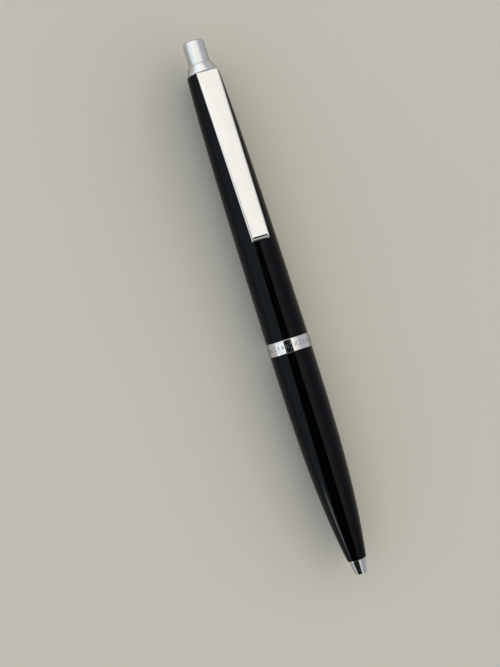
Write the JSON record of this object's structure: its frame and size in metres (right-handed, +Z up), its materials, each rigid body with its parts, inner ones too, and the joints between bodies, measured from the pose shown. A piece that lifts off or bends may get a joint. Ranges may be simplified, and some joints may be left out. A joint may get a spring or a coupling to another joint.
{
  "type": "ballpoint pen",
  "caption": "Retractable ballpoint pen with a push button, a spring clip, a flush centre ring and a screw-apart tapered barrel around a metal refill.",
  "frame": {"origin": "on the surface that the pen lies on, below the middle of its length", "axes": "+X along the pen's axis towards the writing tip, +Z up through the clip, +Y across the pen"},
  "size_m": [0.138, 0.011, 0.0119],
  "materials": {
    "black_plastic": "gloss",
    "chrome": "polished",
    "brass": "turned",
    "nickel_silver": "turned",
    "spring_steel": "drawn wire",
    "refill_steel": "satin",
    "carbide": "ground",
    "cam_plastic": "moulded",
    "plug_plastic": "moulded",
    "ink": "wet"
  },
  "bodies": {
    "upper_barrel": {"upper_barrel": "black_plastic", "cap_collar": "chrome", "clip_tongue": "chrome", "cam_sleeve": "brass", "thread_insert": "brass"},
    "clip": {"clip_arm": "chrome"},
    "button": {"push_button": "chrome", "plunger_cam": "cam_plastic"},
    "refill": {"refill_tube": "refill_steel", "refill_plug": "plug_plastic", "ink_column": "ink", "refill_neck": "brass", "writing_tip": "nickel_silver"},
    "rotor": {"rotor_cam": "cam_plastic"},
    "ball": {"writing_ball": "carbide"},
    "ring": {"centre_ring": "chrome"},
    "lower_barrel": {"lower_barrel": "black_plastic", "thread_bush": "brass", "nose_cone": "chrome", "return_spring": "spring_steel"}
  },
  "joints": [
    {"name": "button_slide", "type": "slide", "parent": "upper_barrel", "child": "button", "axis": [1, 0, 0], "range_m": [0, 0.0055], "stiffness_N_per_m": 250, "springref_m": -0.006},
    {"name": "refill_slide", "type": "slide", "parent": "upper_barrel", "child": "refill", "axis": [1, 0, 0], "range_m": [0, 0.0055], "deforming": ["return_spring"]},
    {"name": "rotor_turn", "type": "hinge", "parent": "refill", "child": "rotor", "pos_m": [-0.035, 0, 0.00546], "axis": [1, 0, 0], "range_deg": [0, 45]},
    {"name": "ball_roll", "type": "hinge", "parent": "refill", "child": "ball", "pos_m": [0.0672, 0, 0.00546], "axis": [0, 1, 0], "continuous": true},
    {"name": "clip_flex", "type": "hinge", "parent": "upper_barrel", "child": "clip", "pos_m": [-0.05995, 0, 0.01051], "axis": [0, -1, 0], "range_deg": [0, 4], "stiffness_Nm_per_rad": 1.5, "springref_deg": -1.72},
    {"name": "barrel_turn", "type": "hinge", "parent": "upper_barrel", "child": "ring", "pos_m": [0.0097, 0, 0.00546], "axis": [1, 0, 0], "range_deg": [0, 1800]},
    {"name": "barrel_advance", "type": "slide", "parent": "ring", "child": "lower_barrel", "axis": [1, 0, 0], "range_m": [0, 0.005]}
  ],
  "couplings": [
    {"joint": "refill_slide", "follows": "button_slide", "ratio": 1},
    {"joint": "rotor_turn", "follows": "button_slide", "rad_per_m": 142.79},
    {"joint": "barrel_advance", "follows": "barrel_turn", "m_per_rad": 0.00015915}
  ]
}
